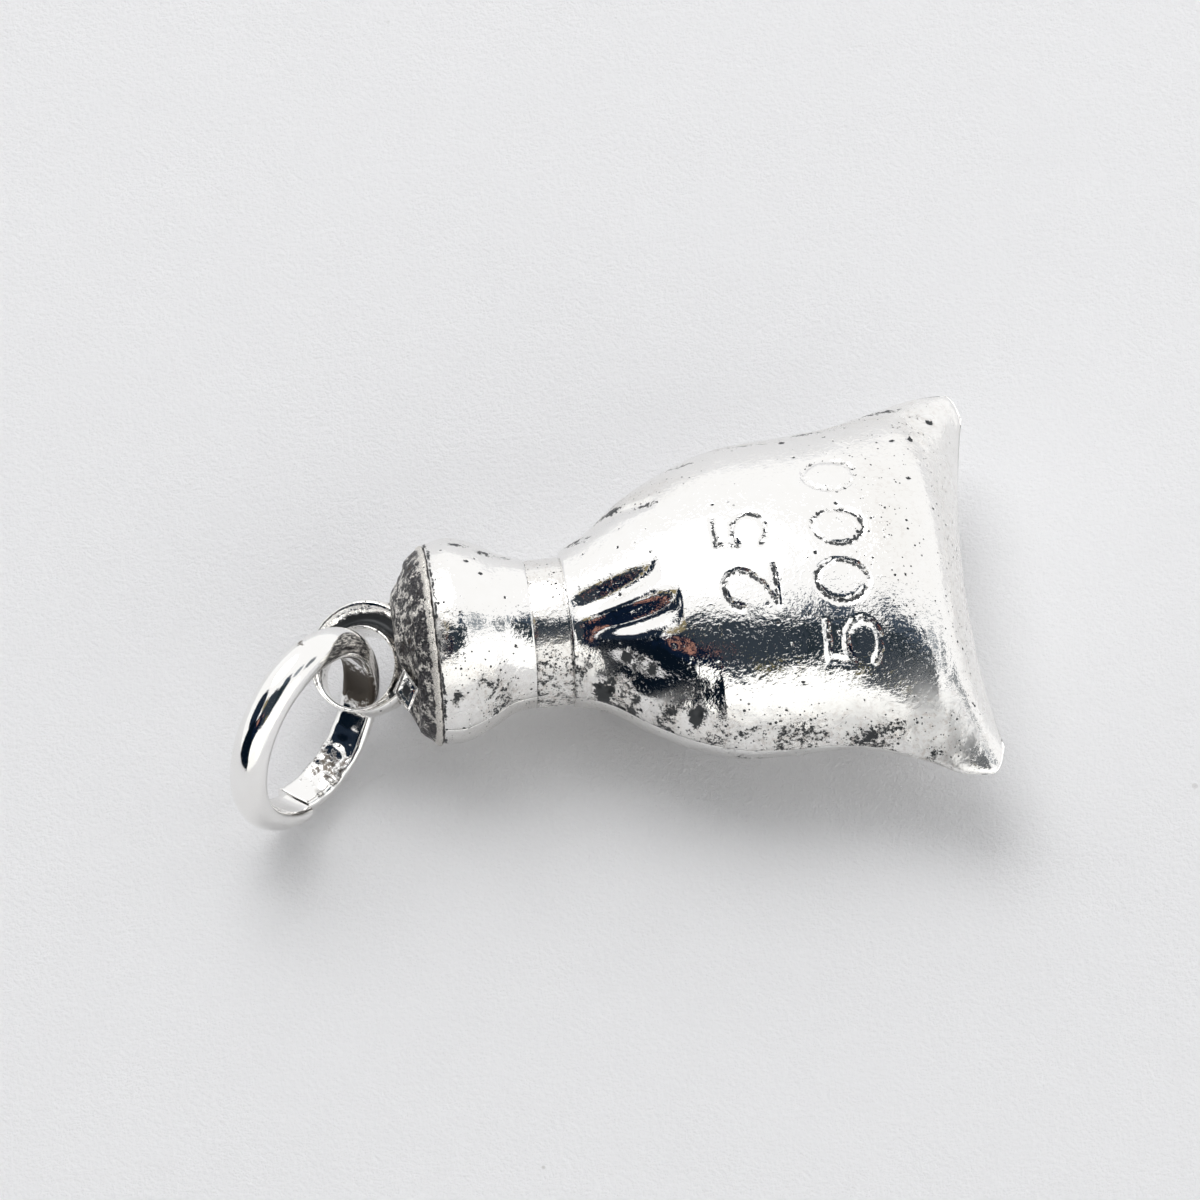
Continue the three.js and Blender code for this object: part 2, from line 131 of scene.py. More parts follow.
class BagSizes(PropertyGroup):
    """Sizes of the bag."""

    neck_length: length("Neck length", "From the mouth's rim to the middle of the tie", 0.00332)
    body_length: length("Body length", "From the middle of the tie to the crease at the base", 0.01148)
    mouth_radius: length("Mouth radius", "Radius of the mouth", 0.00288)
    waist_radius: length("Waist radius", "Radius of the waist under the tie", 0.0021)
    far_half_width: length("Far half width", "Half width of the base on its far side", 0.00644)
    near_half_width: length("Near half width", "Half width of the base on its near side", 0.00614)
    belly_half_thickness: length("Belly half thickness", "Half the thickness at the belly", 0.00322)
    wall: length("Wall", "Thickness of the sheet", 0.0006)
    base_bulge: length("Base bulge", "How far the base stands out past the crease", 0.00052)
    ear_reach: length("Ear reach", "How far the corners run past the middle of the base", 0.00055)
    crown_reach: length("Crown reach", "How far before the crease the corners start to roll over", 0.0013)
    roll_start: FloatProperty(name="Roll start", default=0.55, min=0.0, max=0.9,
                              description="Where on the base's round profile the roll starts")
    stroke_width: length("Stroke width", "Width of the stamped strokes", 0.00019)
    stroke_depth: length("Stroke depth", "Depth of the stamped strokes", 0.00006)
    figure_height: length("Figure height", "Height of the stamped figures", 0.00146)
    figure_width: length("Figure width", "Width of the stamped figures", 0.00122)


class FittingSizes(PropertyGroup):
    """Sizes of the tie, the mouth plate, the eye and the jump ring."""

    tie_width: length("Tie width", "Width of the tie", 0.001)
    tie_thickness: length("Tie thickness", "Thickness of the tie", 0.00026)
    tie_seat_depth: length("Tie seat depth", "How deep the tie sits in the waist", 0.00024)
    plate_height: length("Plate height", "Height of the plate that closes the mouth", 0.00062)
    eye_hole_radius: length("Eye hole radius", "Radius of the drilled hole", 0.00112)
    eye_radius: length("Eye radius", "Outer radius of the eye", 0.0017)
    ring_inner_radius: length("Ring inner radius", "Inner radius of the jump ring", 0.00242)
    ring_thickness: length("Ring thickness", "Thickness of the ring's wire", 0.0007)
    ring_width: length("Ring width", "Width of the ring's wire", 0.00116)
    ring_gap: length("Ring gap", "Gap between the ring's ends", 0.0001)


class SilverFinish(PropertyGroup):
    """Colours of the silver."""

    silver: colour("Silver", "Clean polished silver", (0.935, 0.93, 0.92))
    worn: colour("Worn silver", "Silver that is a little dull and warm", (0.8, 0.77, 0.72))
    satin: colour("Satin silver", "Silver rubbed to a soft whitish satin", (0.84, 0.835, 0.825))
    # The tarnish colour is real tarnish in pits and folds, and painted shade on the eye's dished face.
    tarnish_and_painted_shade: colour("Tarnish", "Dark tarnish in pits and folds", (0.018, 0.022, 0.026))
    oxide: colour("Oxide", "Rough darkened silver", (0.12, 0.115, 0.12))
    paper: colour("Paper", "The pale paper under the charm", (0.9, 0.9, 0.915))


class StageLight(PropertyGroup):
    """Strength of the light, and the seed that scatters the pits."""

    tent: FloatProperty(name="Tent", description="Strength of the soft white surround", default=1.05, min=0.0)
    key: FloatProperty(name="Key", description="Power of the key light in watts", default=0.95, min=0.0)
    seed: IntProperty(name="Seed", description="Seed of the pits' places", default=11)


def settings():
    scene = bpy.context.scene
    return scene.charm_bag, scene.charm_fittings, scene.charm_silver, scene.charm_light


# Plain shapes and numbers


def smoothstep(low, high, value):
    share = np.clip((value - low) / (high - low), 0.0, 1.0)
    return share * share * (3 - 2 * share)


def bell(value):
    """1 at 0, falling smoothly to nothing on both sides."""
    return np.exp(-value ** 2)


def smooth_through(places, values, at):
    """A smooth value between the rows of a table, through each row."""
    before = np.concatenate((values[:1], values[:-1]))
    after = np.concatenate((values[1:], values[-1:]))
    reach = np.concatenate((places[1:], places[-1:])) - np.concatenate((places[:1], places[:-1]))
    slopes = (after - before) / reach
    i = np.clip(np.searchsorted(places[1:-1], at), 0, len(places) - 2)
    span = places[i + 1] - places[i]
    t = np.clip((at - places[i]) / span, 0.0, 1.0)
    ease = t * t * (3 - 2 * t)
    bend = t * (1 - t)
    rise = values[i + 1] - values[i]
    return values[i] + rise * ease + bend * (slopes[i] * span * (1 - t) - slopes[i + 1] * span * t)


def rough(points, scale, seed=0.0):
    """Smooth noise from -1 to 1 at each point."""
    return np.array([noise.noise(Vector(p) * scale + Vector((seed, seed, seed))) for p in points])


def grid(rows, columns):
    """A flat grid as a bmesh, with each vertex's row and column."""
    bm = bmesh.new()
    bmesh.ops.create_grid(bm, x_segments=rows - 1, y_segments=columns - 1, size=0.5)
    flat = np.array([v.co[:2] for v in bm.verts]) + 0.5
    return bm, np.rint(flat[:, 0] * (rows - 1)).astype(int), np.rint(flat[:, 1] * (columns - 1)).astype(int)


def place(bm, points):
    for vert, point in zip(bm.verts, points):
        vert.co = point


def attribute(bm, name, values):
    layer = bm.verts.layers.float.new(name)
    for vert, value in zip(bm.verts, values):
        vert[layer] = value


def linked(name, data):
    """A new object in the scene, from a mesh, a lamp or a camera."""
    made = bpy.data.objects.new(name, data)
    bpy.context.scene.collection.objects.link(made)
    return made


def mesh_object(bm, name, material):
    """A new object from a bmesh, which is freed."""
    mesh = bpy.data.meshes.new(name)
    bm.to_mesh(mesh)
    bm.free()
    mesh.materials.append(material)
    return linked(name, mesh)


def piece(bm, name, node, slot, finish, body="bag", own_frame=None):
    """Makes the piece from a bmesh in millimetres in the bag's frame, and lets it stand for its node."""
    bm.transform(Matrix.Scale(MM, 4) @ Matrix.Translation(MOUTH) @ (own_frame or Matrix.Identity(4)))
    for face in bm.faces:
        face.smooth = True
    made = mesh_object(bm, name, finish(slot))
    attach(made, body)
    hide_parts(node)


# Finishes


def joined(operation, swapped=False):
    """A method of Signal that joins it and another value in a maths node."""
    def method(self, other):
        pair = (other, self) if swapped else (self, other)
        return self.finish.node("ShaderNodeMath", {"operation": operation}, pair)
    return method


class Signal:
    """A value or a colour in a material, which takes part in plain sums."""

    def __init__(self, finish, socket):
        self.finish = finish
        self.socket = socket

    __add__, __radd__ = joined("ADD"), joined("ADD", True)
    __sub__, __rsub__ = joined("SUBTRACT"), joined("SUBTRACT", True)
    __mul__, __rmul__ = joined("MULTIPLY"), joined("MULTIPLY", True)
    __truediv__ = joined("DIVIDE")
    most = joined("MAXIMUM")

    def above(self, low, high):
        """0 below low and 1 above high, with a smooth step between."""
        steps = {"interpolation_type": "SMOOTHSTEP"}
        return self.finish.node("ShaderNodeMapRange", steps, {0: self, 1: low, 2: high})


class Finish:
    """A node tree that is built up from expressions."""

    def __init__(self, tree):
        self.tree = tree
        tree.nodes.clear()

    @classmethod
    def named(cls, name):
        material = bpy.data.materials.new(name)
        material.use_nodes = True
        made = cls(material.node_tree)
        made.material = material
        return made

    def node(self, kind, choices=None, inputs=(), output=0):
        made = self.tree.nodes.new(kind)
        for name, value in (choices or {}).items():
            setattr(made, name, value)
        pairs = inputs.items() if isinstance(inputs, dict) else enumerate(inputs)
        for key, value in pairs:
            if isinstance(value, Signal):
                self.tree.links.new(value.socket, made.inputs[key])
            else:
                made.inputs[key].default_value = value
        return Signal(self, made.outputs[output]) if made.outputs else None

    def blend(self, share, first, second):
        """A colour between two others."""
        inputs = {0: share, 6: rgba(first), 7: rgba(second)}
        return self.node("ShaderNodeMix", {"data_type": "RGBA"}, inputs, output=2)

    def millimetres(self):
        """The place on the piece, in millimetres."""
        place_socket = self.node("ShaderNodeTexCoord", output="Object")
        return self.node("ShaderNodeVectorMath", {"operation": "SCALE"}, {0: place_socket, "Scale": 1000.0})

    def mottle(self, where, scale, detail=2.0, roughness=0.5):
        inputs = {"Vector": where, "Scale": scale, "Detail": detail, "Roughness": roughness}
        return self.node("ShaderNodeTexNoise", {}, inputs)

    def scratches(self, where, turn, scale):
        """Noise drawn out into fine scratches."""
        inputs = {"Vector": where, "Rotation": turn, "Scale": scale}
        return self.mottle(self.node("ShaderNodeMapping", {}, inputs), 1.0, 3.0)

    def dots(self, where, scale, size, share):
        """Round dots, of which only a share of the cells has one. Share may vary over the surface."""
        cell = {"Vector": where, "Scale": scale}
        near = self.node("ShaderNodeTexVoronoi", {}, cell, output="Distance")
        tone = self.node("ShaderNodeTexVoronoi", {}, cell, output="Color")
        pick = self.node("ShaderNodeSeparateColor", {}, (tone,))
        spread = self.node("ShaderNodeSeparateColor", {}, (tone,), output=1)
        wide = size * (0.45 + 0.9 * spread)
        return (1.0 - (near / wide).above(0.75, 1.05)) * (share - pick).above(0.0, 0.02)

    def held(self, name):
        """An attribute of the piece."""
        return self.node("ShaderNodeAttribute", {"attribute_name": name}, output="Fac")

    def bump(self, height, distance, strength):
        inputs = {"Height": height, "Distance": distance, "Strength": strength}
        return self.node("ShaderNodeBump", {}, inputs)

    def surface(self, base, roughness, metallic, normal):
        inputs = {"Base Color": base, "Roughness": roughness, "Metallic": metallic, "Normal": normal}
        shader = self.node("ShaderNodeBsdfPrincipled", {}, inputs)
        self.node("ShaderNodeOutputMaterial", {}, (shader,))
        return self.material


def rgba(value):
    return value if isinstance(value, Signal) else (*value[:3], 1.0)


def cast_silver(name):
    """Polished cast silver: a fine orange-peel grain, dark pits, tarnish left in folds and figures, and
    painted shade on the eye's dished face.
    """
    silver = settings()[2]
    make = Finish.named(name)
    where = make.millimetres()
    tarnish_and_painted_shade, grime, satin, even = map(make.held, ("tarnish_and_painted_shade", "grime", "satin", "even"))
    grain = make.mottle(where, 6.5, 2.0, 0.5)
    swell = make.mottle(where, 2.2, 2.0)
    dents = make.mottle(where, 4.2, 4.0, 0.7)
    small = make.dots(where, 7.0, 0.26, 0.02 + 0.3 * grime)
    fine = make.dots(where, 14.0, 0.32, 0.012 + 0.3 * grime)
    broken = make.mottle(where, 7.5, 4.0, 0.75)
    # The attribute darkens pits, figures and folds with tarnish, and the eye's dished face with painted
    # shade.
    left = (tarnish_and_painted_shade * 1.6 + broken * 2.6 - 2.1).above(0.0, 0.16)
    flecks = (grime * 0.95 + make.mottle(where, 5.5, 5.0, 0.75) * 2.6 - 2.25).above(0.0, 0.14)
    dark = small.most(fine).most(left).most(flecks)
    stains = make.mottle(where, 6.5, 5.0, 0.75).above(0.5, 0.62) * grime.most(satin)
    tone = make.blend(0.3 * swell + 0.5 * grime, silver.silver, silver.worn)
    tone = make.blend(satin * 0.8, tone, silver.satin)
    tone = make.blend(stains * 0.55, tone, (0.5, 0.43, 0.38))
    tone = make.blend(dark * 0.98, tone, silver.tarnish_and_painted_shade)
    sparkle = make.mottle(where, 9.0, 2.0, 0.6).above(0.5, 0.7)
    scratches = make.scratches(where, (0.3, 0.2, 0.7), (1.2, 26.0, 9.0))
    roughness = 0.045 + 0.03 * swell + 0.05 * grime + 0.28 * satin + dark * 0.35
    cast = (grain * 0.72 + sparkle * 0.2) * (1.0 - 0.8 * even)
    height = cast + swell * 0.5 + scratches * 0.12 + dents * 1.2 * grime - dark * 1.2
    normal = make.bump(height, 0.00002, 0.7)
    return make.surface(tone, roughness, (1.0 - 0.75 * satin) * (1.0 - dark * 0.7), normal)


def wire_silver(name):
    """Smooth polished silver wire, with faint scratches, a few dark scrapes, painted shade inside the eye's
    hole and a painted shadow at the cut.
    """
    silver = settings()[2]
    make = Finish.named(name)
    where = make.millimetres()
    tarnish_and_painted_shade = make.held("tarnish_and_painted_shade")
    swell = make.mottle(where, 1.1, 2.0)
    scrapes = make.scratches(where, (0.5, 0.1, 0.6), (2.0, 30.0, 12.0))
    broken = make.mottle(where, 6.0, 4.0, 0.7)
    dark = (tarnish_and_painted_shade * 1.6 + broken * 2.2 - 1.9).above(0.0, 0.35)
    tone = make.blend(0.3 * swell, silver.silver, silver.worn)
    # The brown dark is tarnish and scrapes, and painted shade inside the eye's hole and a painted shadow at
    # the cut.
    tone = make.blend(dark * 0.9, tone, (0.06, 0.042, 0.024))
    roughness = 0.06 + 0.04 * scrapes + dark * 0.3
    normal = make.bump(swell * 1.2 + scrapes * 0.1 + dark * 0.8 * broken, 0.000025, 0.4)
    return make.surface(tone, roughness, 1.0, normal)


def oxidised_silver(name):
    """Rough silver darkened by age, bright only where it is rubbed."""
    silver = settings()[2]
    make = Finish.named(name)
    where = make.millimetres()
    rubbed = make.held("rubbed")
    lumps = make.mottle(where, 3.6, 5.0, 0.68)
    crumbs = make.mottle(where, 14.0, 4.0, 0.7)
    bare = (rubbed * 0.75 + 2.1 * lumps + 1.1 * crumbs - 1.66).above(0.0, 0.25)
    tone = make.blend(crumbs.above(0.42, 0.62), (0.03, 0.03, 0.034), silver.oxide)
    tone = make.blend(lumps.above(0.3, 0.42), (0.05, 0.035, 0.022), tone)
    tone = make.blend(bare, tone, silver.worn)
    specks = make.dots(where, 9.0, 0.3, 0.3)
    tone = make.blend(specks * 0.85, tone, silver.tarnish_and_painted_shade)
    roughness = 0.34 - 0.2 * bare + 0.2 * crumbs
    normal = make.bump(lumps * 1.6 + crumbs * 0.9 - specks * 0.8, 0.00005, 0.9)
    return make.surface(tone, roughness, 0.75 + 0.25 * bare, normal)


def paper(name):
    """Pale paper with a fine tooth and a few specks of dust."""
    silver = settings()[2]
    make = Finish.named(name)
    where = make.millimetres()
    tooth = make.mottle(where, 7.0, 5.0, 0.7)
    cloud = make.mottle(where, 0.12, 3.0)
    specks = make.dots(where, 0.55, 0.045, 0.05)
    tone = make.blend(0.4 * cloud + 0.6 * tooth, silver.paper, tuple(0.95 * c for c in silver.paper))
    tone = make.blend(specks * 0.4, tone, (0.35, 0.33, 0.3))
    normal = make.bump(tooth + 2.0 * cloud, 0.00009, 0.7)
    return make.surface(tone, 0.9, 0.0, normal)


# The bag

# Where the body starts to flatten into a lens, as a share of its length.
LENS_START = 0.103

# The stretch with rows close enough for the stamped figures, in millimetres.
MARKS_START, MARKS_END = 7.8, 12.8

# How far the seat runs past each side of the tie, how far the skin draws in past the crease, and how much
# the base slants across the bag.
SEAT_LAP, BASE_TUCK, BASE_SLANT = 0.03, 0.85, 0.022


def bag_stations(row_counts):
    """The rows of the bag's skin, from its mouth to its base, as one array for each measure of a section."""
    bag, fittings, _, _ = settings()
    neck, body = bag.neck_length / MM, bag.body_length / MM
    waist, mouth = bag.waist_radius / MM, bag.mouth_radius / MM
    crease = neck + body
    places = np.concatenate((NECK_OUTLINE[:, 0] * neck, neck + BODY_OUTLINE[:, 0] * body))
    grown = (waist + BODY_OUTLINE[:, 1] * (bag.far_half_width / MM - waist),
             waist + BODY_OUTLINE[:, 2] * (bag.near_half_width / MM - waist),
             BODY_OUTLINE[:, 3] * bag.belly_half_thickness / MM)
    outlines = [np.concatenate((waist + NECK_OUTLINE[:, k + 1] * (mouth - waist), part))
                for k, part in enumerate(grown)]
    seat_half = fittings.tie_width / MM / 2 + SEAT_LAP
    seat = waist - fittings.tie_seat_depth / MM
    neck_rows, body_rows, marks_rows, end_rows, roll_rows = row_counts
    x = np.concatenate((
        np.linspace(0.0, neck - seat_half, neck_rows),
        (neck - seat_half, neck + seat_half),
        np.linspace(neck + seat_half, MARKS_START, body_rows, endpoint=False),
        np.linspace(MARKS_START, MARKS_END, marks_rows, endpoint=False),
        np.linspace(MARKS_END, crease, end_rows),
    ))
    far, near, thick = (smooth_through(places, values, x) for values in outlines)
    for width in (far, near, thick):
        width[neck_rows:neck_rows + 2] = seat
    lens_start = neck + LENS_START * body
    middle = (lens_start + crease) / 2
    fullness = 0.5 + 0.2 * smoothstep(lens_start, crease, x)
    u = np.sin(math.pi / 2 * np.arange(1, roll_rows + 1) / roll_rows)
    drawn = BASE_TUCK * u ** 3
    ones = np.ones(roll_rows)
    end = crease + bag.base_bulge / MM
    rows = {
        "x": (x, crease + bag.base_bulge / MM * u),
        "far": (far, far[-1] - drawn),
        "near": (near, near[-1] - drawn),
        "thick": (thick, thick[-1] * ones),
        "fullness": (fullness, fullness[-1] * ones),
        "base": (smoothstep(middle, crease, x), ones),
        "crown": (smoothstep(middle, crease - bag.crown_reach / MM, x), ones),
    }
    at = {name: np.concatenate(parts)[:, None] for name, parts in rows.items()}
    return {**at, "places": places, "thickness": outlines[2], "crease": crease, "end": end}


def skin_points(at, spokes, inset=0.0):
    """The points of a half skin of the bag, one row for each station, lying on the seam at both edges."""
    bag = settings()[0]
    body_start, body = bag.neck_length / MM, bag.body_length / MM
    long = (bag.neck_length + bag.body_length + bag.base_bulge) / MM
    across = np.cos(spokes)[None, :]
    half = np.where(across > 0, at["far"], at["near"]) - inset
    reach, start = bag.crown_reach / MM, bag.roll_start
    turn = at["crease"] - reach * across ** 2
    late = np.minimum(at["x"] + reach * at["crown"] * across ** 2, at["crease"])
    crown = smooth_through(at["places"], at["thickness"], late)
    past = ((at["x"] - turn) / (at["end"] - turn)).clip(0.0, 1.0)
    rolled = ((1 - (start + (1 - start) * past) ** 2) / (1 - start ** 2)) ** 0.55
    thick = np.maximum(np.where(at["crown"] > 0, crown * rolled, at["thick"]) - inset, 0.0)
    y = half * across
    lift = np.sin(spokes)[None, :].clip(0.0, 1.0)
    rise = thick * lift ** (2 * at["fullness"])
    x = at["x"] * (1 - inset / long) + at["base"] * (bag.ear_reach / MM * across ** 2 + BASE_SLANT * y)
    if inset == 0.0:
        along = (x - body_start) / body
        for head, foot, depth, width in PLEATS:
            t = np.clip((along - head[0]) / (foot[0] - head[0]), 0.0, 1.0)
            share = head[1] + (foot[1] - head[1]) * t
            centre = share * np.where(share > 0, at["far"], at["near"])
            fade = np.sqrt(np.sin(math.pi * t).clip(0.0, 1.0))
            rise = rise - depth * fade * bell((y - centre) / width) * lift
    return np.stack(np.broadcast_arrays(x, y, rise), axis=-1)


def skin_normals(points):
    along = np.gradient(points, axis=0)
    around = np.gradient(points, axis=1)
    normals = np.cross(around, along)
    size = np.linalg.norm(normals, axis=-1, keepdims=True)
    normals = normals / np.maximum(size, 1e-12)
    return normals * np.where(normals[..., 2:].mean() > 0, 1.0, -1.0)


def stroke_distance(points, strokes):
    """How far each point lies from a line through the strokes' points."""
    nearest = np.full(len(points), 1e9)
    for a, b in zip(strokes[:-1], strokes[1:]):
        a, b = np.array(a), np.array(b)
        span = b - a
        t = np.clip((points - a) @ span / max(span @ span, 1e-9), 0.0, 1.0)
        nearest = np.minimum(nearest, np.linalg.norm(points - a - t[:, None] * span, axis=1))
    return nearest


def stamped(points):
    """How far inwards the stamped figures push each point, and how much tarnish their edges hold."""
    bag = settings()[0]
    wide, high = bag.figure_width / MM, bag.figure_height / MM
    stroke, depth = bag.stroke_width / MM, bag.stroke_depth / MM
    press = np.zeros(len(points))
    edge = np.zeros(len(points))
    for figure, along, across, left in STAMPS:
        close = (abs(points[:, 0] - along) < high) & (abs(points[:, 1] - across) < wide)
        seen = np.stack((points[close, 1] - across, along - points[close, 0]), axis=1)
        strokes = [(x * wide, y * high) for x, y in FIGURES[figure]]
        gap = stroke_distance(seen, strokes)
        press[close] = np.maximum(press[close], depth * (1 - smoothstep(0.1 * stroke, 0.8 * stroke, gap)))
        edge[close] = np.maximum(edge[close], left * bell(gap / (0.55 * stroke)))
    return press, edge


def pitted(points, pits):
    """Round pits: how far inwards they push each point, and how much tarnish they hold."""
    press = np.zeros(len(points))
    held = np.zeros(len(points))
    uneven = 1 + 0.45 * rough(points, 4.5, 2.0)
    for x, y, radius, depth in pits:
        beside = np.hypot(points[:, 0] - x, points[:, 1] - y)
        gap = np.linalg.norm(points - points[np.argmin(beside)], axis=1) / radius * uneven
        near = gap < 2.0
        press[near] += depth * (1 - smoothstep(0.2, 1.1, gap[near]))
        held[near] = np.maximum(held[near], 1 - smoothstep(0.6, 1.1, gap[near]))
    return press, held


def spots(points, places):
    """Soft patches, each a place along and across, a reach along and across, and a strength."""
    total = np.zeros(len(points))
    for x, y, long, wide, strength in places:
        gap = ((points[:, 0] - x) / long) ** 2 + ((points[:, 1] - y) / wide) ** 2
        total = np.maximum(total, strength * np.exp(-gap))
    return total


def pit_places(front):
    """Each pit's place along and across the bag, radius and depth: small ones by chance, then large ones."""
    random = np.random.default_rng(settings()[3].seed + (0 if front else 1))
    pits = [(random.uniform(0.2, 15.0), random.uniform(-6.0, 6.0), random.uniform(0.04, 0.07), 0.035)
            for _ in range(60)]
    return pits + list(PITS if front else ())


def weathered(points, front):
    """How far stamping and wear push each point of the skin inwards, and what its finish holds there."""
    pit_press, tarnish_and_painted_shade = pitted(points, pit_places(front))
    ragged = rough(points, 1.6, 4.0)
    waves = 0.012 * rough(points, 0.9, 3.0) + 0.008 * rough(points, 2.3, 8.0)
    satin = spots(points, SATIN if front else BACK_SATIN) * (1 + 0.35 * ragged)
    grime = spots(points, GRIME if front else BACK_GRIME) * (1 + 0.3 * ragged)
    press = pit_press - waves + 0.035 * grime * rough(points, 2.8, 6.0)
    if front:
        stamp_press, stamp_edge = stamped(points)
        press = press + stamp_press * (0.75 + 0.7 * rough(points, 5.5, 5.0))
        tarnish_and_painted_shade = np.maximum(tarnish_and_painted_shade, stamp_edge * (0.62 + 0.3 * rough(points, 1.9, 5.0)))
    press = press + 0.02 * bell(points[:, 2] / 0.06)
    lip = points[:, 0] + 0.06 * rough(points, 1.5, 2.0)
    tarnish_and_painted_shade = np.maximum(tarnish_and_painted_shade, bell((lip - 0.05) / 0.07) * (0.6 + 0.5 * ragged))
    streaks = spots(points, TARNISH if front else BACK_TARNISH) * (1 + 0.5 * rough(points, 2.6, 9.0))
    tarnish_and_painted_shade = np.maximum(tarnish_and_painted_shade, streaks)
    return press, {"tarnish_and_painted_shade": tarnish_and_painted_shade, "grime": grime.clip(0.0, 1.0), "satin": satin.clip(0.0, 1.0)}


def lining():
    """The inner side of a half shell, as a mesh that faces the hollow."""
    stations = bag_stations((10, 14, 14, 8, 6))
    points = skin_points(stations, np.linspace(0.0, math.pi, 34), settings()[0].wall / MM)
    bm, row, column = grid(points.shape[0], points.shape[1])
    place(bm, points[row, column])
    bmesh.ops.reverse_faces(bm, faces=bm.faces)
    mesh = bpy.data.meshes.new("lining")
    bm.to_mesh(mesh)
    bm.free()
    return mesh


def half_bag(front):
    """A half shell of the bag as a closed bmesh in the bag's frame, with what its finish needs."""
    counts, columns = ((56, 72, 139, 40, 20), 270) if front else ((40, 56, 60, 30, 14), 200)
    v = np.linspace(0.0, 1.0, columns)
    skin = skin_points(bag_stations(counts), math.pi * v + 0.36 * np.sin(2 * math.pi * v))
    normals = skin_normals(skin).reshape(-1, 3)
    off_seam = np.ones(skin.shape[:2])
    off_seam[:, 0] = off_seam[:, -1] = off_seam[-1] = 0.0
    points = skin.reshape(-1, 3)
    press, held = weathered(points, front)
    points = points - normals * (press * off_seam.reshape(-1))[:, None]
    held["even"] = spots(points, EVEN)
    bm, row, column = grid(skin.shape[0], columns)
    order = row * columns + column
    place(bm, points[order])
    for name, values in held.items():
        attribute(bm, name, values[order])
    inner = lining()
    bm.from_mesh(inner)
    bpy.data.meshes.remove(inner)
    bmesh.ops.bridge_loops(bm, edges=[edge for edge in bm.edges if edge.is_boundary])
    if not front:
        bmesh.ops.scale(bm, vec=(1.0, 1.0, -1.0), verts=bm.verts)
        for vert in bm.verts:
            vert.co.z = max(vert.co.z, -MOUTH.z)
    bmesh.ops.recalc_face_normals(bm, faces=bm.faces)
    return bm


# Patches of grime on the front: a place along and across the bag, the reach each way, and a strength.
GRIME = (
    (0.2, -1.2, 0.3, 1.6, 0.8), (1.6, -2.3, 1.3, 0.5, 1.0),
    (1.6, 2.6, 1.2, 0.3, 0.6), (3.9, -1.9, 0.8, 0.5, 1.1),
    (5.0, -2.6, 0.8, 0.5, 1.2), (6.2, -3.5, 0.9, 0.4, 1.1),
    (7.6, -4.2, 1.0, 0.35, 1.1), (10.0, -4.5, 1.8, 0.35, 1.15),
    (12.0, -4.75, 1.6, 0.35, 1.3), (13.9, -5.4, 0.9, 0.4, 0.9),
    (14.4, 4.8, 0.6, 1.2, 0.55), (14.9, 0.0, 0.3, 4.5, 0.5),
    (5.8, 3.2, 1.6, 0.5, 0.7), (8.5, 4.9, 1.8, 0.25, 0.7),
    (11.5, 5.4, 2.2, 0.3, 0.75), (13.2, 1.0, 1.0, 3.0, 0.35),
)

# Patches rubbed to a whitish satin on the front, given the same way.
SATIN = (
    (1.4, -2.5, 1.4, 0.4, 0.85), (3.6, -2.05, 0.9, 0.35, 0.8),
    (5.8, -3.3, 0.9, 0.2, 0.6), (9.0, -4.5, 1.6, 0.45, 0.7),
    (11.6, -4.5, 1.8, 0.6, 0.8), (13.8, -5.0, 1.2, 1.1, 1.0),
    (15.2, 0.0, 0.5, 5.0, 0.75), (14.9, 5.4, 0.8, 0.9, 0.7),
    (0.05, 0.0, 0.12, 3.0, 0.5),
)

# Where the surface is smoother than the rest, round the pleats.
EVEN = (
    (5.2, -1.4, 1.3, 1.1, 0.9),
    (6.6, -2.4, 0.9, 0.9, 0.9),
)

# Larger pits on the front: a place along and across the bag, a radius and a depth.
PITS = (
    (14.32, 4.3, 0.11, 0.07), (13.72, 4.2, 0.08, 0.05),
    (15.0, 5.2, 0.14, 0.08), (14.0, 2.6, 0.09, 0.05),
    (13.0, 3.1, 0.06, 0.04), (10.6, 4.6, 0.12, 0.07),
    (4.45, -2.3, 0.14, 0.08), (4.8, -2.45, 0.18, 0.1),
    (5.1, -2.8, 0.12, 0.08), (5.6, -3.1, 0.09, 0.06),
    (6.4, -3.5, 0.1, 0.06), (7.2, -3.75, 0.15, 0.08),
)

# Where tarnish is left in streaks on the front: a place, the reach each way, and a strength.
TARNISH = (
    (4.6, -2.4, 0.55, 0.24, 0.72), (5.3, -2.95, 0.7, 0.2, 0.68),
    (6.3, -3.5, 0.7, 0.2, 0.64), (7.15, -3.75, 0.4, 0.26, 0.9),
    (5.35, -2.05, 0.28, 0.2, 0.75), (5.65, -2.3, 0.28, 0.2, 0.78),
    (5.95, -2.52, 0.28, 0.2, 0.75), (8.4, -4.35, 0.9, 0.12, 0.5),
    (10.4, -4.5, 1.0, 0.1, 0.5), (12.0, -4.72, 1.0, 0.16, 0.66),
    (13.6, -5.45, 0.5, 0.14, 0.5), (0.45, -2.55, 0.3, 0.2, 0.62),
    (1.9, -2.25, 0.9, 0.2, 0.45), (0.9, 2.0, 0.6, 0.2, 0.58),
    (1.9, 1.7, 0.8, 0.2, 0.6), (3.3, 1.5, 0.5, 0.2, 0.56),
    (4.4, 2.0, 0.6, 0.3, 0.64), (5.4, 2.8, 0.6, 0.3, 0.64),
    (6.3, 2.5, 0.6, 0.16, 0.7), (7.5, 4.1, 0.9, 0.2, 0.58),
    (9.4, 4.65, 1.2, 0.18, 0.54), (11.6, 5.1, 1.3, 0.18, 0.58),
    (13.6, 5.8, 1.0, 0.22, 0.58),
)

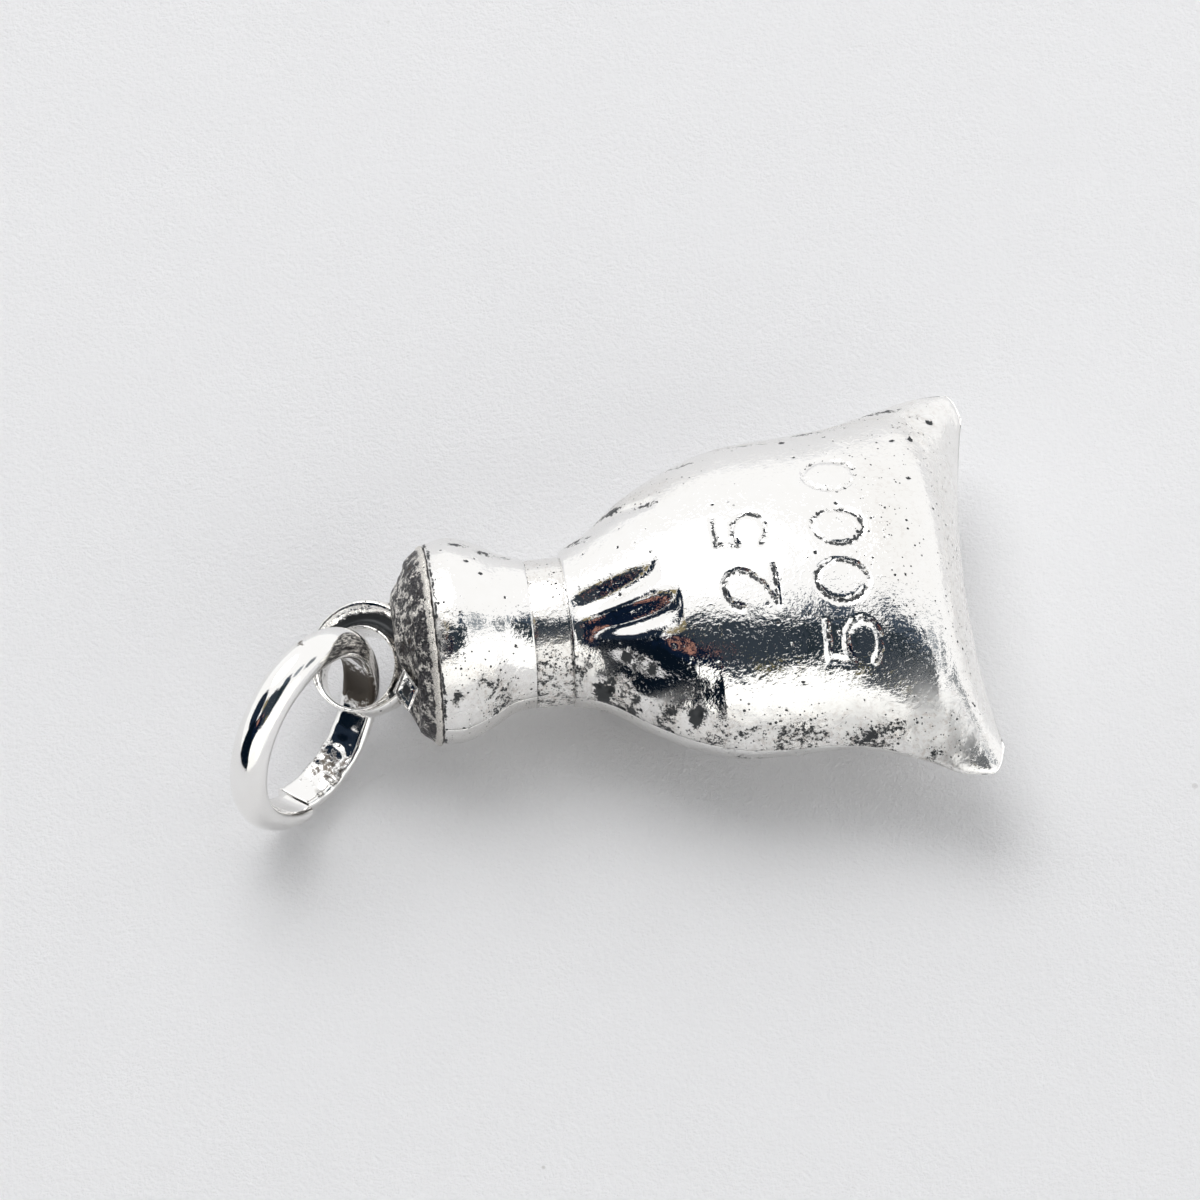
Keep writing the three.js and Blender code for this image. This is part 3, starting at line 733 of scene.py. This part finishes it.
# The same patches and streaks on the back.
BACK_GRIME = (
    (2.0, 0.0, 2.0, 3.0, 0.6),
    (5.0, 0.0, 2.0, 3.0, 0.6),
    (14.0, 0.0, 1.2, 6.0, 0.6),
)
BACK_TARNISH = (
    (3.4, 0.0, 0.5, 2.2, 0.5),
    (9.0, -4.4, 3.0, 0.2, 0.45),
    (9.0, 4.6, 3.0, 0.2, 0.45),
)
BACK_SATIN = (
    (9.5, 0.0, 4.0, 3.0, 0.5),
    (14.8, 0.0, 0.8, 6.0, 0.6),
    (1.0, 0.0, 1.0, 3.0, 0.5),
)


class BuildBagFront(Operator):
    """Builds the front half of the bag, with its pleats and stamped figures"""

    bl_idname = "charm.bag_front"
    bl_label = "Bag front"

    def execute(self, context):
        piece(half_bag(True), "bag_front", "bag_front_shell", "front_silver", cast_silver)
        return {"FINISHED"}


class BuildBagBack(Operator):
    """Builds the back half of the bag, worn flat where it lies"""

    bl_idname = "charm.bag_back"
    bl_label = "Bag back"

    def execute(self, context):
        piece(half_bag(False), "bag_back", "bag_back_shell", "back_silver", cast_silver)
        return {"FINISHED"}


# Fittings

# The tie's rounded side: how far under its face, and how far in from its end.
TIE_SIDE = ((0.035, 0.0), (0.012, 0.07), (0.0, 0.2))

# The plate's edge: how far inside the rim, and where along the bag.
PLATE_EDGE = ((0.12, -0.22), (0.02, -0.14), (0.0, -0.09), (0.02, -0.04), (0.09, 0.0))

# The solder: a radius, and how far from the plate.
SOLDER_OUTLINE = ((0.0, -0.48), (1.3, -0.48), (1.62, -0.42), (1.85, -0.26), (2.1, -0.12), (2.32, 0.0),
                  (0.0, 0.0))


def turned(profile, steps):
    """A body turned about the bag's axis from points of a radius and a place along it."""
    bm = bmesh.new()
    verts = [bm.verts.new((along, radius, 0.0)) for radius, along in profile]
    edges = [bm.edges.new(pair) for pair in zip(verts[:-1], verts[1:])]
    bmesh.ops.spin(bm, geom=verts + edges, cent=(0, 0, 0), axis=(1, 0, 0), angle=2 * math.pi,
                   steps=steps, use_merge=True)
    bmesh.ops.remove_doubles(bm, verts=bm.verts, dist=1e-4)
    bmesh.ops.recalc_face_normals(bm, faces=bm.faces)
    return bm


def fine_profile(points, step):
    """The same line with more points on it, none further apart than the step."""
    made = [points[0]]
    for a, b in zip(points[:-1], points[1:]):
        count = max(1, math.ceil(math.dist(a, b) / step))
        made += [tuple(p + (q - p) * i / count for p, q in zip(a, b)) for i in range(1, count + 1)]
    return made


def pushed_out(bm, shifts):
    """Moves each vertex along its normal."""
    for vert, shift in zip(bm.verts, shifts):
        vert.co += vert.normal * shift


def roughened(bm, scale, height, seed=0.0):
    """Pushes the vertices in and out by smooth noise."""
    bm.normal_update()
    pushed_out(bm, height * rough([v.co for v in bm.verts], scale, seed))


class BuildTie(Operator):
    """Builds the flat silver tie round the waist"""

    bl_idname = "charm.tie"
    bl_label = "Tie"

    def execute(self, context):
        bag, fittings, _, _ = settings()
        inner = (bag.waist_radius - fittings.tie_seat_depth) / MM
        outer = inner + fittings.tie_thickness / MM
        lap = 0.05
        start = (bag.neck_length - fittings.tie_width / 2) / MM - lap
        end = (bag.neck_length + fittings.tie_width / 2) / MM + lap
        profile = [(inner, start), *((outer - under, start + along) for under, along in TIE_SIDE),
                   *((outer - under, end - along) for under, along in TIE_SIDE[::-1]),
                   (inner, end), (inner, start)]
        bm = turned(fine_profile(profile, 0.06), 200)
        roughened(bm, 1.6, 0.012, 4.0)
        places = np.array([v.co for v in bm.verts])
        edge = np.minimum(places[:, 0] - start, end - places[:, 0])
        worn = 0.5 + 0.9 * rough(places, 0.8, 3.0)
        near = 1 - smoothstep(-2.0, -0.8, places[:, 1])
        attribute(bm, "tarnish_and_painted_shade", (1 - smoothstep(0.02, 0.12, edge)) * worn.clip(0.1, 0.52))
        attribute(bm, "grime", (0.3 + 0.5 * near + 0.2 * worn).clip(0.0, 1.0))
        attribute(bm, "satin", 0.6 * near)
        piece(bm, "tie", "tie_band", "tie_silver", cast_silver)
        return {"FINISHED"}


class BuildMouthPlate(Operator):
    """Builds the rough dark plate that closes the mouth"""

    bl_idname = "charm.mouth_plate"
    bl_label = "Mouth plate"

    def execute(self, context):
        bag, fittings, _, _ = settings()
        rim = bag.mouth_radius / MM
        high = fittings.plate_height / MM
        profile = [(0.0, -high), (2.3, -high), (2.45, -high + 0.03),
                   *((rim - inside, along) for inside, along in PLATE_EDGE), (0.0, 0.0)]
        bm = turned(fine_profile(profile, 0.05), 240)
        places = np.array([v.co for v in bm.verts])
        radius = np.hypot(places[:, 1], places[:, 2])
        roughened(bm, 1.8, 0.035, 2.0)
        roughened(bm, 5.0, 0.022, 6.0)
        for vert in bm.verts:
            vert.co.x = min(vert.co.x, 0.0)
        rim_share = smoothstep(2.72, 2.82, radius) * (1 - smoothstep(-0.08, -0.03, places[:, 0]))
        attribute(bm, "rubbed", rim_share * (0.8 + 0.4 * rough(places, 2.0, 3.0)))
        piece(bm, "mouth_plate_face", "mouth_plate", "oxidised_silver", oxidised_silver)
        return {"FINISHED"}


# The middle of the eye's hole, and the eye's and the tab's own frames, in the bag's frame.
EYE_HOLE = Vector((-2.1, -0.35, -0.5))
EYE_FRAME = (Matrix.Translation(EYE_HOLE) @ Matrix.Rotation(math.radians(12), 4, "X")
             @ Matrix.Rotation(math.radians(-20), 4, "Y"))
TAB_TURN = math.radians(85)
TAB_FRAME = (Matrix.Translation((-0.95, -1.43 * math.sin(TAB_TURN), 1.43 * math.cos(TAB_TURN)))
             @ Matrix.Rotation(math.radians(34), 4, "X"))


class BuildSolder(Operator):
    """Builds the lumpy solder round the foot of the eye"""

    bl_idname = "charm.solder"
    bl_label = "Solder"

    def execute(self, context):
        _, fittings, _, _ = settings()
        foot = -fittings.plate_height / MM
        profile = [(radius, foot + along) for radius, along in SOLDER_OUTLINE]
        bm = turned(fine_profile(profile, 0.07), 180)
        roughened(bm, 1.5, 0.05, 9.0)
        roughened(bm, 4.5, 0.022, 5.0)
        out = EYE_FRAME.inverted()
        bore = fittings.eye_hole_radius / MM + 0.06
        tab_middle = TAB_FRAME @ Vector((0.0, 0.0, 0.3))
        tab_reach, hollow = 1.5, 0.32
        for vert in bm.verts:
            vert.co.x = min(vert.co.x, foot + 0.02)
            seen = out @ vert.co
            gap = math.hypot(seen.x, seen.y)
            if gap < bore:
                seen.xy = seen.xy * (bore / max(gap, 1e-6))
                vert.co = EYE_FRAME @ seen
            beside = (vert.co - tab_middle).length
            vert.co.yz *= 1 - hollow * max(0.0, 1 - (beside / tab_reach) ** 2)
        attribute(bm, "rubbed", np.full(len(bm.verts), 0.15))
        piece(bm, "eye_solder_mound", "eye_solder", "solder", oxidised_silver)
        return {"FINISHED"}


def closed_curve(points, count):
    """A smooth closed line through the points."""
    points = np.array(points)
    n = len(points)
    made = []
    for i in range(count):
        place_on = i * n / count
        k = int(place_on)
        t = place_on - k
        p0, p1, p2, p3 = (points[(k + j) % n] for j in (-1, 0, 1, 2))
        made.append(0.5 * (2 * p1 + (p2 - p0) * t + (2 * p0 - 5 * p1 + 4 * p2 - p3) * t * t
                           + (3 * p1 - p0 - 3 * p2 + p3) * t ** 3))
    return np.array(made)


# The section of the eye's ring: one side from the hole to the rim, a share of the way out and of the half
# depth, then the same mirrored.
EYE_FACE = (
    (0.0, 0.5), (0.03, 0.88), (0.09, 0.98), (0.15, 0.86), (0.22, 0.55), (0.36, 0.34),
    (0.52, 0.4), (0.66, 0.68), (0.78, 0.88), (0.89, 0.84), (0.97, 0.6), (1.0, 0.25),
)
EYE_SECTION = ((0.0, -0.5), (0.0, 0.0), *EYE_FACE, *((out, -rise) for out, rise in EYE_FACE[:0:-1]))


class BuildEye(Operator):
    """Builds the drilled eye with its raised rim and dished face"""

    bl_idname = "charm.eye"
    bl_label = "Eye"

    def execute(self, context):
        _, fittings, _, _ = settings()
        hole, outer = fittings.eye_hole_radius / MM, fittings.eye_radius / MM
        off_x, off_y = 0.22, 0.36
        offset, heading = math.hypot(off_x, off_y), math.atan2(off_y, off_x)
        thin, thick = 0.62, 1.15
        steps, spokes = 200, 92
        section = closed_curve(EYE_SECTION, spokes)
        bm, i, j = grid(steps + 1, spokes + 1)
        angle = 2 * math.pi * (i % steps) / steps
        turn = angle - heading
        wall = offset * np.cos(turn) + np.sqrt(outer ** 2 - (offset * np.sin(turn)) ** 2) - hole
        depth = thin + (thick - thin) * wall / (outer + offset - hole)
        rho, eta = section[j % spokes, 0], section[j % spokes, 1]
        plain = np.sign(eta) * np.sqrt(np.clip(1 - (2 * rho - 1) ** 2, 0.0, 1.0)) ** 0.8
        dished = smoothstep(0.2, 0.55, wall)
        eta = eta * dished + (0.35 * eta + 0.6 * plain) * (1 - dished)
        radius = hole + wall * rho
        place(bm, np.stack((radius * np.cos(angle), radius * np.sin(angle), depth / 2 * eta), axis=1))
        # Painted shade: the dished face is darkened in its colour, standing in for the dark it mirrors.
        hollow = np.exp(-((rho - 0.4) / 0.2) ** 4) * dished
        at_foot = 1 - smoothstep(0.0, 0.6, 1.2 - radius * np.cos(angle))
        attribute(bm, "tarnish_and_painted_shade", 0.95 * hollow + 0.3 * at_foot * smoothstep(0.2, 0.5, rho))
        attribute(bm, "grime", 0.2 + 0.5 * at_foot)
        bmesh.ops.remove_doubles(bm, verts=bm.verts, dist=1e-5)
        bmesh.ops.recalc_face_normals(bm, faces=bm.faces)
        roughened(bm, 2.0, 0.02, 1.0)
        bm.transform(EYE_FRAME)
        foot = -fittings.plate_height / MM
        for vert in bm.verts:
            vert.co.x = min(vert.co.x, foot + 0.02)
        piece(bm, "eye", "eye_loop", "eye_silver", cast_silver)
        return {"FINISHED"}


class BuildTab(Operator):
    """Builds the plain lozenge tab beside the eye"""

    bl_idname = "charm.tab"
    bl_label = "Lozenge tab"

    def execute(self, context):
        sunk, high, border, dish = 0.25, 0.58, 0.06, 0.1
        bm = bmesh.new()
        bmesh.ops.create_circle(bm, cap_ends=True, segments=4, radius=0.5)
        bmesh.ops.scale(bm, vec=(0.76, 1.26, 1.0), verts=bm.verts)
        bmesh.ops.translate(bm, vec=(0, 0, -sunk), verts=bm.verts)
        bm.faces.ensure_lookup_table()
        grown = bmesh.ops.extrude_face_region(bm, geom=[bm.faces[0]])
        top = [g for g in grown["geom"] if isinstance(g, bmesh.types.BMFace)][0]
        bmesh.ops.translate(bm, vec=(0, 0, sunk + high), verts=top.verts)
        bmesh.ops.inset_region(bm, faces=[top], thickness=border)
        bmesh.ops.inset_region(bm, faces=[top], thickness=0.05)
        bmesh.ops.translate(bm, vec=(0, 0, -dish), verts=top.verts)
        bmesh.ops.recalc_face_normals(bm, faces=bm.faces)
        bmesh.ops.bevel(bm, geom=list(bm.edges), offset=0.025, segments=2, profile=0.5, affect="EDGES",
                        material=-1)
        bmesh.ops.triangulate(bm, faces=[f for f in bm.faces if len(f.verts) > 4])
        bmesh.ops.subdivide_edges(bm, edges=list(bm.edges), cuts=2, use_grid_fill=True)
        roughened(bm, 4.0, 0.015, 2.0)
        seen = np.array([v.co for v in bm.verts])
        bm.transform(TAB_FRAME)
        centre = abs(seen[:, 0]) / 0.38 + abs(seen[:, 1]) / 0.63
        attribute(bm, "tarnish_and_painted_shade", 0.9 * (1 - smoothstep(0.5, 0.74, centre)) * smoothstep(0.3, 0.4, seen[:, 2]))
        attribute(bm, "grime", np.full(len(seen), 0.1))
        piece(bm, "tab", "lozenge_tab", "tab_silver", cast_silver)
        return {"FINISHED"}


# The jump ring

# How the ring stands: its heading, its lean, how far its plane is from the middle of the eye's hole, and how
# far it clears the paper.
RING_HEADING = math.radians(-42.7)
RING_LEAN = math.radians(11.2)
RING_ASIDE, RING_CLEARANCE = 0.12, 0.02

# On the ring: the turn to its cut, the turns on from there to the solder lumps and to the eye, and a scrape.
RING_CUT = math.radians(-24.5)
LUMPS_AT, EYE_AT = 0.6, 1.75
SCRAPE = (-2.9, 0.9, -0.2)


def ring_frame():
    """The jump ring's own frame in the bag's: it stands on its edge, its wire through the eye's hole."""
    _, fittings, _, _ = settings()
    turn = Matrix.Rotation(RING_HEADING, 4, "Z") @ Matrix.Rotation(math.pi / 2 - RING_LEAN, 4, "Y")
    normal = turn @ Vector((0, 0, 1))
    level = turn @ Vector((0, 1, 0))
    upright = turn @ Vector((-1, 0, 0))
    wire = (fittings.ring_inner_radius + fittings.ring_thickness / 2) / MM
    centre_height = (fittings.ring_inner_radius + fittings.ring_thickness) / MM * upright.z + RING_CLEARANCE
    crossing = math.asin((MOUTH.z + EYE_HOLE.z - centre_height) / (wire * upright.z))
    centre = Vector((EYE_HOLE.x, EYE_HOLE.y, 0)) + normal * RING_ASIDE
    centre = centre - level * wire * math.cos(crossing) - upright * wire * math.sin(crossing)
    centre.z = centre_height - MOUTH.z
    return Matrix.Translation(centre) @ turn


class BuildRing(Operator):
    """Builds the jump ring from D-section wire, with its ends butted and left open"""

    bl_idname = "charm.ring"
    bl_label = "Jump ring"

    def execute(self, context):
        _, fittings, _, _ = settings()
        inner, thick = fittings.ring_inner_radius / MM, fittings.ring_thickness / MM
        wide, gap = fittings.ring_width / MM, fittings.ring_gap / MM
        flat, crown, step, dome = 0.98, 0.012, 0.08, 26
        section = []
        for k in range(8, -1, -1):
            across = 2 * k / 8 - 1
            section.append((inner + crown * (1 - across ** 2), flat / 2 * across))
        for k in range(dome + 1):
            a = -math.pi / 2 + math.pi * k / dome
            section.append((inner + step + (thick - step) * math.cos(a), wide / 2 * math.sin(a)))
        bm = bmesh.new()
        verts = [bm.verts.new((radius, 0.0, rise)) for radius, rise in section]
        edges = [bm.edges.new((verts[k], verts[(k + 1) % len(verts)])) for k in range(len(verts))]
        half_gap = gap / 2 / (inner + thick / 2)
        bmesh.ops.rotate(bm, verts=verts, cent=(0, 0, 0), matrix=Matrix.Rotation(RING_CUT + half_gap, 3, "Z"))
        bmesh.ops.spin(bm, geom=verts + edges, cent=(0, 0, 0), axis=(0, 0, 1),
                       angle=2 * math.pi - 2 * half_gap, steps=300, use_merge=False)
        bmesh.ops.holes_fill(bm, edges=[e for e in bm.edges if e.is_boundary], sides=0)
        ends = [e for e in bm.edges if any(len(f.verts) > 4 for f in e.link_faces)]
        bmesh.ops.recalc_face_normals(bm, faces=bm.faces)
        bmesh.ops.bevel(bm, geom=ends, offset=0.035, segments=3, profile=0.5, affect="EDGES", material=-1)
        bm.normal_update()
        places = np.array([v.co for v in bm.verts])
        past = (np.arctan2(places[:, 1], places[:, 0]) - RING_CUT) % (2 * math.pi)
        to_cut = np.minimum(past, 2 * math.pi - past)
        radius = np.hypot(places[:, 0], places[:, 1])
        inside = 1 - smoothstep(inner + 0.02, inner + 0.2, radius)
        lumps = rough(places, 2.6, 7.0) * 0.12 * bell((past - LUMPS_AT) / 0.4) * (0.2 + 0.8 * inside)
        pushed_out(bm, lumps + 0.006 * rough(places, 1.2, 1.0))
        slip = 0.06 * np.exp(-((2 * math.pi - past) / 0.35)) - 0.2 * np.exp(-(past / 0.35))
        for vert, shift in zip(bm.verts, slip):
            vert.co.z += shift
        painted_shade_in_eye = inside * bell((past - EYE_AT) / 0.4)
        gripped = inside * bell((past - LUMPS_AT) / 0.45)
        scraped = np.exp(-np.sum(((places - SCRAPE) / (0.3, 0.3, 0.22)) ** 2, axis=1))
        # Tarnish where the wire is gripped and scraped; painted shade where it runs through the eye's hole,
        # and a painted shadow at the cut.
        tarnish_and_painted_shade = 0.62 * gripped + 1.0 * painted_shade_in_eye + 0.72 * scraped + 0.5 * bell(to_cut / 0.03)
        attribute(bm, "tarnish_and_painted_shade", tarnish_and_painted_shade.clip(0.0, 1.0))
        piece(bm, "jump_ring_wire", "jump_ring", "ring_silver", wire_silver, "ring", ring_frame())
        return {"FINISHED"}


# The stage

# The photograph's view in degrees, how far off the camera is, how wide it sees there, and what it looks at.
VIEW_AZIMUTH, VIEW_ELEVATION = -7, 60
CAMERA_DISTANCE = 0.4
VIEW_WIDTH = 0.034286
AIM = Vector((0.000007, 0.000373, 0.003643))
CAMERA_SENSOR = 36.0

# The key light's direction in degrees, its distance and its size.
KEY_AZIMUTH, KEY_ELEVATION = 196, 58
KEY_DISTANCE, KEY_SIZE = 0.55, 0.4


def towards(azimuth, elevation):
    """A direction from the charm. Azimuth 0 is towards the near side and 90 towards the base."""
    a, e = math.radians(azimuth), math.radians(elevation)
    return Vector((math.sin(a) * math.cos(e), -math.cos(a) * math.cos(e), math.sin(e)))


# Round cards that the silver mirrors, dark, coloured and white, each in front of the ones before it: an
# azimuth, an elevation and a reach in degrees, and a colour.
CARDS = (
    (-92, 42, 20, (0.012, 0.02, 0.035)),
    (88, 27, 7, (0.2, 0.22, 0.24)),
    (58, 61, 11, (0.04, 0.052, 0.062)),
    (35, 60, 14, (0.03, 0.04, 0.05)),
    (15, 60, 16, (0.02, 0.03, 0.038)),
    (-12, 62, 21, (0.035, 0.046, 0.06)),
    (-49, 18, 32, (0.0025, 0.006, 0.012)),
    (-38, 45, 15, (0.004, 0.01, 0.026)),
    (84, 46, 6.5, (0.3, 0.33, 0.36)),
    (74, 66, 8, (0.06, 0.08, 0.11)),
    (-43, 50, 4.5, (0.4, 0.2, 0.15)),
    (-22, 58, 2, (0.4, 0.19, 0.15)),
    (-66, 65, 6, (0.3, 0.25, 0.14)),
    (8, 47, 3.5, (0.18, 0.16, 0.08)),
    (-12, 22, 18, (1.3, 1.3, 1.27)),
    (-10, 2, 16, (1.1, 1.1, 1.08)),
    (18, 22, 20, (1.3, 1.3, 1.27)),
    (50, 22, 20, (1.3, 1.3, 1.27)),
)
CARD_DISTANCE, CARD_STEP = 0.6, 0.004


def card(direction, reach, distance, shade):
    """A round card curved about the charm, which the camera doesn't see."""
    bm = bmesh.new()
    bmesh.ops.create_uvsphere(bm, u_segments=96, v_segments=72, radius=distance)
    bmesh.ops.bisect_plane(bm, geom=bm.verts[:] + bm.edges[:] + bm.faces[:], plane_no=(0, 0, 1),
                           plane_co=(0, 0, distance * math.cos(math.radians(reach))), clear_inner=True)
    bmesh.ops.reverse_faces(bm, faces=bm.faces)
    bm.transform(direction.to_track_quat("Z", "Y").to_matrix().to_4x4())
    make = Finish.named("card")
    glow = make.node("ShaderNodeEmission", {}, (rgba(shade), 1.0))
    make.node("ShaderNodeOutputMaterial", {}, (glow,))
    make.material.cycles.emission_sampling = "NONE"
    made = mesh_object(bm, "card", make.material)
    made.visible_camera = False


class BuildStage(Operator):
    """Builds the paper, the soft surround, the mirrored cards, the key light and the camera"""

    bl_idname = "charm.stage"
    bl_label = "Stage"

    def execute(self, context):
        light = settings()[3]
        scene = context.scene
        back = towards(VIEW_AZIMUTH, VIEW_ELEVATION)
        lens = bpy.data.cameras.new("view")
        lens.sensor_width = CAMERA_SENSOR
        lens.lens = CAMERA_SENSOR * CAMERA_DISTANCE / VIEW_WIDTH
        lens.clip_start, lens.clip_end = 0.01, 10.0
        camera = linked("view", lens)
        camera.location = AIM + back * CAMERA_DISTANCE
        camera.rotation_euler = back.to_track_quat("Z", "Y").to_euler()
        scene.camera = camera
        scene.view_settings.view_transform = "Standard"

        bm = bmesh.new()
        bmesh.ops.create_grid(bm, x_segments=8, y_segments=8, size=1.5)
        bmesh.ops.translate(bm, vec=(0, 0, -0.00001), verts=bm.verts)
        sheet = mesh_object(bm, "paper", paper("paper"))

        lamp = bpy.data.lights.new("key", "AREA")
        lamp.shape = "DISK"
        lamp.size = KEY_SIZE
        lamp.energy = light.key
        key = linked("key", lamp)
        side = towards(KEY_AZIMUTH, KEY_ELEVATION)
        key.location = side * KEY_DISTANCE
        key.rotation_euler = side.to_track_quat("Z", "Y").to_euler()

        world = bpy.data.worlds.new("surround")
        world.use_nodes = True
        scene.world = world
        make = Finish(world.node_tree)
        glow = make.node("ShaderNodeBackground", {}, (rgba((1.0, 1.0, 1.0)), light.tent))
        make.node("ShaderNodeOutputWorld", {}, (glow,))
        for i, (azimuth, elevation, reach, shade) in enumerate(CARDS):
            card(towards(azimuth, elevation), reach, CARD_DISTANCE - CARD_STEP * i, shade)
        return {"FINISHED"}


class CharmPanel(Panel):
    """Lists the charm's pieces and sizes in the sidebar"""

    bl_idname = "VIEW3D_PT_charm"
    bl_label = "Charm"
    bl_space_type = "VIEW_3D"
    bl_region_type = "UI"
    bl_category = "Charm"

    def draw(self, context):
        for operator in OPERATORS:
            self.layout.operator(operator.bl_idname)
        for name in GROUPS:
            box = self.layout.box()
            group = getattr(context.scene, name)
            for field in GROUPS[name].__annotations__:
                box.prop(group, field)


OPERATORS = (BuildStage, BuildBagFront, BuildBagBack, BuildTie, BuildMouthPlate, BuildSolder, BuildEye,
             BuildTab, BuildRing)
GROUPS = {"charm_bag": BagSizes, "charm_fittings": FittingSizes, "charm_silver": SilverFinish,
          "charm_light": StageLight}


def register():
    for made in (*GROUPS.values(), *OPERATORS, CharmPanel):
        bpy.utils.register_class(made)
    for name, group in GROUPS.items():
        setattr(bpy.types.Scene, name, PointerProperty(type=group))


def unregister():
    for name in GROUPS:
        delattr(bpy.types.Scene, name)
    for made in reversed((*GROUPS.values(), *OPERATORS, CharmPanel)):
        bpy.utils.unregister_class(made)


def main():
    register()
    for operator in OPERATORS:
        group, name = operator.bl_idname.split(".")
        getattr(getattr(bpy.ops, group), name)()


if __name__ == "__main__":
    main()
